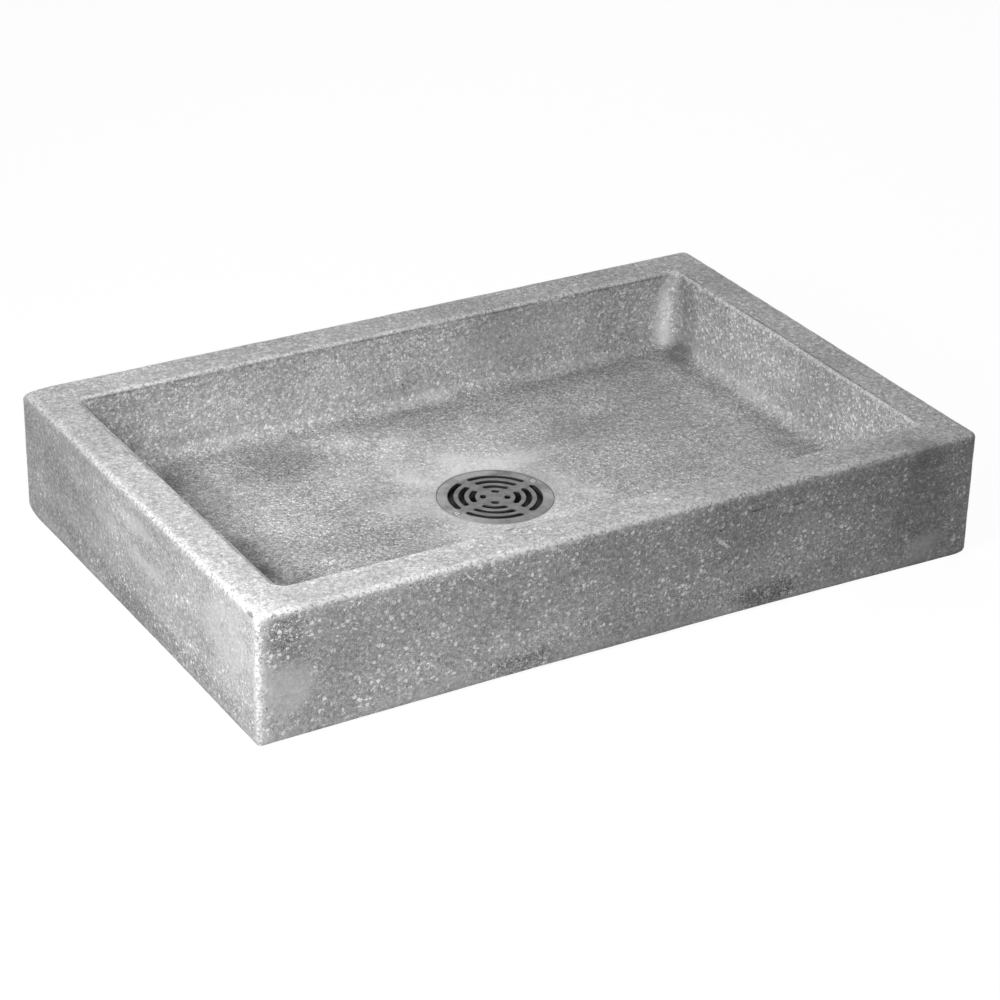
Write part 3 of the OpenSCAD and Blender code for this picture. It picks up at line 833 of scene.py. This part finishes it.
def bow_base(points):
    """Raises the middle of each lower edge a little off the ground."""
    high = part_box("basin")[1]
    x, y, z = points.T
    sides = {
        "front": (high.y + y, x / high.x),
        "back": (high.y - y, x / high.x),
        "left": (high.x + x, y / high.y),
        "right": (high.x - x, y / high.y),
    }
    lift = np.zeros(len(points))
    for side, (inset, along) in sides.items():
        lift += BASE_BOWS[side] * ramp(inset, BOW_REACH, 0) * np.clip(1 - along**2, 0, 1)
    inset = np.minimum(high.x - np.abs(x), high.y - np.abs(y))
    outside = inset < RIM_WIDTH / 2
    under = z < BASE_EDGE
    points[:, 2] += lift * np.where(under, 1.0, np.where(outside, 1 - z / high.z, 0.0))


def ring_mesh(name, rings):
    """Closed mesh through rings that run round and meet again."""
    levels, count = rings.shape[:2]
    level, step = np.meshgrid(np.arange(levels), np.arange(count), indexing="ij")
    above, beside = (level + 1) % levels, (step + 1) % count
    corners = [level * count + step, level * count + beside, above * count + beside, above * count + step]
    faces = np.stack(corners, -1).reshape(-1, 4)
    mesh = bpy.data.meshes.new(name)
    mesh.from_pydata(rings.reshape(-1, 3).tolist(), [], faces.tolist())
    return mesh


def built_mesh(name, build):
    """Mesh from a finished bmesh."""
    mesh = bpy.data.meshes.new(name)
    build.to_mesh(mesh)
    build.free()
    return mesh


def smooth_but_sharp(mesh):
    """Smooth shading that keeps the edges that turn a lot."""
    mesh.shade_smooth()
    mesh.set_sharp_from_angle(angle=SHARP_ANGLE)


def new_object(name, data):
    thing = bpy.data.objects.new(name, data)
    bpy.context.scene.collection.objects.link(thing)
    return thing


def new_piece(name, mesh, slot, body):
    mesh.materials.append(MATERIALS[slot])
    piece = new_object(name, mesh)
    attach(piece, body)
    return piece


def basin():
    mesh = ring_mesh("basin", basin_rings())
    points = np.array([vertex.co for vertex in mesh.vertices])
    normals = np.array([vertex.normal for vertex in mesh.vertices])
    marks = basin_marks(points)
    roughen(points, normals, marks)
    soften_corners(points)
    bow_base(points)
    mesh.vertices.foreach_set("co", points.ravel())
    for name, value in marks.items():
        mesh.attributes.new(name, "FLOAT", "POINT").data.foreach_set("value", value.astype(np.float32))
    smooth_but_sharp(mesh)
    piece = new_piece("basin_terrazzo", mesh, "terrazzo", "receptor")
    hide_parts("basin")


# Steps round the plate's edge, along and at the ends of its slots, and round its screw holes
PLATE_STEPS = 192
SLOT_STEPS = 30
SLOT_END_STEPS = 12
HOLE_STEPS = 48
EDGE_TURNS = (0, 30, 60, 90)  # degrees
FLAT_NORMAL = 0.999  # a face whose normal points at least so far up or down is flat


def circle(radius, steps, middle=(0, 0)):
    turn = np.arange(steps) / steps * 2 * math.pi
    return np.array(middle) + radius * np.column_stack([np.cos(turn), np.sin(turn)])


def slot_outline(radius, width, turn):
    """Curved slot with round ends, centred on a line that is turned from the X axis."""
    end = math.pi / 4 - math.asin((SPOKE_WIDTH + SLOT_WIDTH) / 2 / radius)
    along = np.linspace(-end, end, SLOT_STEPS)
    half_turn = np.linspace(0, math.pi, SLOT_END_STEPS)[1:-1]

    def arc(reach, angles):
        return reach * np.column_stack([np.cos(angles), np.sin(angles)])

    def round_end(angle, start):
        middle = radius * np.array([math.cos(angle), math.sin(angle)])
        return middle + arc(width / 2, start + half_turn)

    outline = np.concatenate([
        arc(radius + width / 2, along), round_end(end, end),
        arc(radius - width / 2, along[::-1]), round_end(-end, math.pi - end),
    ])
    cosine, sine = math.cos(turn), math.sin(turn)
    return outline @ np.array([[cosine, sine], [-sine, cosine]])


def edge_levels(low, high):
    """(height, distance from the edge) down a rounded upper edge, a wall and a rounded lower edge."""
    turns = [math.radians(turn) for turn in EDGE_TURNS]
    upper = [(high - PLATE_EDGE * (1 - math.cos(turn)), PLATE_EDGE * (1 - math.sin(turn))) for turn in turns]
    return upper + [(low + high - height, inset) for height, inset in reversed(upper)]


def plate_walls(low, high, radius, turn, screws):
    """Each wall of the plate as rings from its upper to its lower face."""
    levels = edge_levels(low, high)
    walls = [[(circle(radius - inset, PLATE_STEPS), height) for height, inset in levels]]
    last_slot = radius - PLATE_BORDER - SLOT_WIDTH / 2
    for middle in np.linspace(FIRST_SLOT, last_slot, SLOT_RINGS):
        for quarter in range(4):
            slot_turn = turn + math.pi / 4 + quarter * math.pi / 2
            walls.append([
                (slot_outline(middle, SLOT_WIDTH + 2 * inset, slot_turn), height) for height, inset in levels
            ])
    for place in screws:
        sink = [(HEAD_DEPTH + THREAD_RADIUS, high), (THREAD_RADIUS, high - HEAD_DEPTH), (THREAD_RADIUS, low)]
        walls.append([(circle(size + HEAD_ROOM, HOLE_STEPS, place), height) for size, height in sink])
    return walls


def open_edges(build, height):
    """Edges at that height that have a face on one side only."""
    return [
        edge for edge in build.edges
        if edge.is_boundary and abs(edge.verts[0].co.z - height) < PLATE_EDGE / 2
    ]


def join_rings(build, rings):
    """Faces between each ring of corners and the next."""
    for ring, following in zip(rings, rings[1:]):
        for step in range(len(ring)):
            build.faces.new((ring[step - 1], ring[step], following[step], following[step - 1]))


def strainer():
    turn = math.atan2(SCREW_PLACES[0].y, SCREW_PLACES[0].x)
    screws = [place.xy for place in SCREW_PLACES]
    build = bmesh.new()
    for wall in plate_walls(PLATE_LOW.z, PLATE_HIGH.z, PLATE_HIGH.x, turn, screws):
        rings = [[build.verts.new((*point, height)) for point in outline] for outline, height in wall]
        join_rings(build, rings)
    for height in (PLATE_LOW.z, PLATE_HIGH.z):
        bmesh.ops.triangle_fill(build, edges=open_edges(build, height), use_beauty=True)
    bmesh.ops.recalc_face_normals(build, faces=build.faces)
    for edge in build.edges:
        flat = [abs(face.normal.z) > FLAT_NORMAL for face in edge.link_faces]
        edge.smooth = flat.count(True) != 1 and edge.calc_face_angle(0) < SHARP_ANGLE
    for face in build.faces:
        face.smooth = True
    piece = new_piece("strainer_plate", built_mesh("strainer", build), "stainless_plate", "strainer")
    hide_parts("strainer")


SCREW_STEPS = 40
THREAD_STEPS = 6  # rings to each turn of the thread


def screw_radii(height, length):
    """Radius all the way round a countersunk screw, at a height over its tip."""
    share = np.arange(SCREW_STEPS) / SCREW_STEPS
    phase = (height / THREAD_PITCH - share) % 1
    groove = THREAD_DEPTH * (1 - np.abs(2 * phase - 1))
    under_head = length - HEAD_DEPTH
    taper = max(0.0, TIP_LENGTH - height)
    runout = ramp(height, under_head, under_head - THREAD_PITCH)
    thread = THREAD_RADIUS - taper - groove * runout
    return np.maximum(thread, THREAD_RADIUS + height - under_head)


def screw(node, name, body):
    low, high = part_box(node)
    middle = (low + high) / 2
    length = high.z - low.z
    heights = list(np.arange(0, length - HEAD_DEPTH, THREAD_PITCH / THREAD_STEPS))
    heights += [length - HEAD_DEPTH, length - HEAD_EDGE]
    radii = [screw_radii(height, length) for height in heights]
    heights.append(length)
    radii.append(radii[-1] - HEAD_EDGE)
    build = bmesh.new()
    unit = circle(1, SCREW_STEPS)
    rings = []
    for height, radius in zip(heights, radii):
        points = np.array(middle.xy) + unit * radius[:, None]
        rings.append([build.verts.new((*point, low.z + height)) for point in points])
    join_rings(build, rings)
    build.faces.new(rings[0][::-1])
    build.faces.new(rings[-1])
    piece = new_piece(name, built_mesh(name, build), "stainless_screw", body)
    cut_driver_slot(piece, Vector((middle.x, middle.y, high.z)))
    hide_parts(node)


def cut_driver_slot(piece, top):
    """Cuts a slot across the head, in line with the middle of the drain."""
    across = 8 * HEAD_DEPTH  # about twice the head's width
    build = bmesh.new()
    bmesh.ops.create_cube(build, size=1)
    size = Matrix.Diagonal((across, DRIVER_SLOT, 2 * DRIVER_SLOT, 1))
    turn = Matrix.Rotation(math.atan2(top.y, top.x), 4, "Z")
    bmesh.ops.transform(build, matrix=Matrix.Translation(top) @ turn @ size, verts=build.verts)
    cutter = new_object("driver_slot", built_mesh("driver_slot", build))
    cut = piece.modifiers.new("slot", "BOOLEAN")
    cut.operation = "DIFFERENCE"
    cut.solver = "EXACT"
    cut.object = cutter
    bpy.context.view_layer.update()
    shaped = bpy.data.meshes.new_from_object(piece.evaluated_get(bpy.context.evaluated_depsgraph_get()))
    piece.modifiers.clear()
    piece.data = shaped
    bpy.data.objects.remove(cutter)
    smooth_but_sharp(shaped)


def dress_nodes():
    """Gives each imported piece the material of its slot."""
    for subpart in frame["record"]["subparts"]:
        mesh = frame["nodes"][subpart["node"]].data
        mesh.materials.clear()
        mesh.materials.append(MATERIALS[subpart["material_slot"]])


def direct_sight(tree):
    """1 for what the camera sees, itself or in a mirror or through glass."""
    path = tree.nodes.new("ShaderNodeLightPath")
    seen = path.outputs["Is Camera Ray"]
    for name in ("Is Glossy Ray", "Is Transmission Ray"):
        either = tree.nodes.new("ShaderNodeMath")
        either.operation = "MAXIMUM"
        tree.links.new(seen, either.inputs[0])
        tree.links.new(path.outputs[name], either.inputs[1])
        seen = either.outputs[0]
    return seen


def photo_camera():
    camera = new_object("camera", bpy.data.cameras.new("camera"))
    camera.data.sensor_width = SENSOR_MM
    camera.data.lens = FOCAL_PIXELS * SENSOR_MM / PICTURE_PIXELS
    camera.data.clip_end = CAMERA_REACH
    heading = Matrix.Rotation(-math.radians(CAMERA_HEADING), 4, "Z")
    dip = Matrix.Rotation(math.radians(90 - CAMERA_DIP), 4, "X")
    roll = Matrix.Rotation(math.radians(CAMERA_ROLL), 4, "Z")
    camera.matrix_world = Matrix.Translation(CAMERA_PLACE) @ heading @ dip @ roll
    bpy.context.scene.camera = camera


def lamps():
    for name, place, aim, width, power in LAMPS:
        lamp = new_object(name, bpy.data.lights.new(name, "AREA"))
        lamp.data.shape = "DISK"
        lamp.data.size = width
        lamp.data.energy = power
        lamp.visible_camera = False
        lamp.location = place
        lamp.rotation_euler = (Vector(aim) - Vector(place)).to_track_quat("-Z", "Y").to_euler()


def white_world():
    """White to look at, and a weak light on the object."""
    world = bpy.data.worlds.new("studio")
    bpy.context.scene.world = world
    world.use_nodes = True
    tree = world.node_tree
    tree.nodes.clear()
    fill = tree.nodes.new("ShaderNodeBackground")
    fill.inputs["Strength"].default_value = WORLD_FILL
    white = tree.nodes.new("ShaderNodeBackground")
    mixed = tree.nodes.new("ShaderNodeMixShader")
    tree.links.new(direct_sight(tree), mixed.inputs[0])
    tree.links.new(fill.outputs[0], mixed.inputs[1])
    tree.links.new(white.outputs[0], mixed.inputs[2])
    tree.links.new(mixed.outputs[0], tree.nodes.new("ShaderNodeOutputWorld").inputs["Surface"])


def studio_floor():
    """Pale floor that takes a faint shadow round the basin, and looks white to the camera."""
    mesh = bpy.data.meshes.new("floor")
    corners = [(-1, -1), (1, -1), (1, 1), (-1, 1)]
    mesh.from_pydata([(x * FLOOR_HALF, y * FLOOR_HALF, -FLOOR_DROP) for x, y in corners], [], [(0, 1, 2, 3)])
    g = Graph("floor_white")
    lit = g.add("BsdfDiffuse", {"Color": (FLOOR_TONE, FLOOR_TONE, FLOOR_TONE, 1)}).outputs[0]
    white = g.add("Emission", {"Color": (1, 1, 1, 1), "Strength": FLOOR_WHITE}).outputs[0]
    away = g.vector("DIVIDE", g.place, (CAD_BOX[1][0], CAD_BOX[1][1], 1.0))
    away = g.add("SeparateXYZ", {0: g.vector("ABSOLUTE", away, (0.0, 0.0, 0.0))}).outputs
    open_floor = g.spread(g.math("MAXIMUM", away["X"], away["Y"]), *UNDER_BASIN)
    share = g.product(direct_sight(g.tree), open_floor, 1 - FLOOR_SHADOW_SHARE)
    mixed = g.add("MixShader", {0: share, 1: lit, 2: white}).outputs[0]
    g.add("OutputMaterial", {"Surface": mixed})
    mesh.materials.append(g.material)
    floor = new_object("floor", mesh)


dress_nodes()
basin()
strainer()
for node, name, body in SCREWS:
    screw(node, name, body)
studio_floor()
photo_camera()
lamps()
white_world()
bpy.context.scene.view_settings.view_transform = "Standard"
